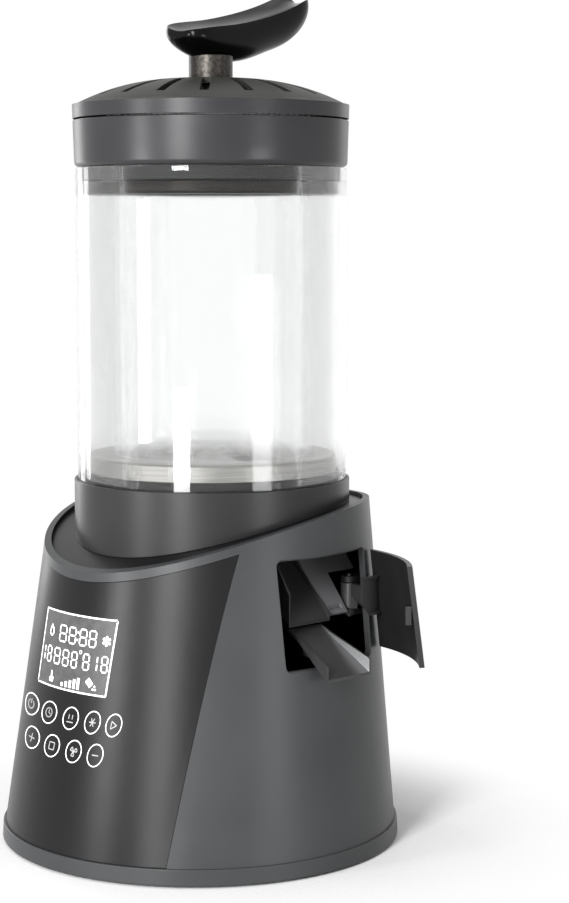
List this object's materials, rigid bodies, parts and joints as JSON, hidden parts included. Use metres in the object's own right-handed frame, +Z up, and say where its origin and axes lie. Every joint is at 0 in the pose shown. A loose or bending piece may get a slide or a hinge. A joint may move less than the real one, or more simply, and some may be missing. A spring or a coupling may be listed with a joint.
{
  "type": "coffee bean roaster",
  "caption": "Home hot-air coffee roaster: glass chamber on a leaning cone base, lift-off slotted lid, side door and bean tray.",
  "frame": {"origin": "on the axis of the glass at the level of the worktop, the plane of the foot ring's underside", "axes": "+Z up along the glass, -Y toward the control panel at the front, +X toward the discharge door"},
  "size_m": [0.2266, 0.2002, 0.4207],
  "materials": {
    "housing_charcoal": "fine satin",
    "panel_gloss": "smooth",
    "display_lens": "smooth, tinted",
    "display_parts": "moulded",
    "boards": "laminate with parts",
    "foot_rubber": "matte",
    "pan_plastic": "moulded",
    "screws": "plated",
    "inlet_brass": "plain",
    "motor_steel": "plated",
    "impeller_plastic": "moulded",
    "heater_steel": "sheet",
    "mica": "board",
    "coil_wire": "oxidised wire",
    "clear_glass": "clear",
    "seal_rubber": "silicone",
    "floor_metal": "cast and turned",
    "chute_plastic": "smooth",
    "lid_grey": "satin",
    "lid_dome": "satin",
    "mesh_steel": "woven wire",
    "plug_metal": "turned",
    "stem_metal": "satin",
    "grip_gloss": "polished"
  },
  "bodies": {
    "base": {"air_duct": "heater_steel", "base_pan": "pan_plastic", "base_ring": "housing_charcoal", "base_screws": "screws", "blower_housing": "pan_plastic", "blower_motor": "motor_steel", "blower_mount": "pan_plastic", "body_shell": "housing_charcoal", "chamber_floor": "floor_metal", "collar_ring": "housing_charcoal", "control_panel": "panel_gloss", "deflector_plate": "chute_plastic", "discharge_trough": "chute_plastic", "discharge_tube": "heater_steel", "display_lens": "display_lens", "display_module": "display_parts", "floor_seal": "seal_rubber", "foot_ring": "foot_rubber", "gate_motor": "motor_steel", "glass_gasket": "seal_rubber", "heater_case": "heater_steel", "heater_coil": "coil_wire", "heater_frame": "mica", "hinge_bracket": "heater_steel", "hinge_pin": "screws", "inlet_pins": "inlet_brass", "inner_glass": "clear_glass", "ledge_deck": "housing_charcoal", "main_board": "boards", "outer_glass": "clear_glass", "power_inlet": "pan_plastic", "temperature_probe": "heater_steel", "thermal_cutout": "heater_steel", "touch_board": "boards", "tray_rail": "screws"},
    "impeller": {"blower_impeller": "impeller_plastic"},
    "gate": {"gate_flap": "heater_steel", "gate_shaft": "screws"},
    "tray": {"chute_tray": "chute_plastic"},
    "door": {"door_panel": "housing_charcoal", "door_arm": "housing_charcoal", "door_latch": "housing_charcoal"},
    "lid": {"lid_ring": "lid_grey", "lid_cover": "lid_dome", "lid_mesh": "mesh_steel", "lid_plug": "plug_metal", "lid_gasket": "seal_rubber", "handle_stem": "stem_metal", "handle_grip": "grip_gloss", "handle_screw": "screws"}
  },
  "joints": [
    {"name": "impeller_spin", "type": "hinge", "parent": "base", "child": "impeller", "pos_m": [0, 0, 0.05], "axis": [0, 0, 1], "continuous": true},
    {"name": "gate_turn", "type": "hinge", "parent": "base", "child": "gate", "pos_m": [0.0335, -0.0034, 0.1793], "axis": [0, 1, 0], "range_deg": [0, 80]},
    {"name": "door_swing", "type": "hinge", "parent": "base", "child": "door", "pos_m": [0.0654, 0.0312, 0.125], "axis": [0, 0, 1], "range_deg": [-60, 0]},
    {"name": "tray_slide", "type": "slide", "parent": "base", "child": "tray", "axis": [-0.866, 0, 0.5], "range_m": [0, 0.018]},
    {"name": "lid_lift", "type": "slide", "parent": "base", "child": "lid", "axis": [0, 0, 1], "range_m": [0, 0.09]}
  ],
  "couplings": [
    {"joint": "tray_slide", "follows": "door_swing", "m_per_rad": -0.017189}
  ]
}
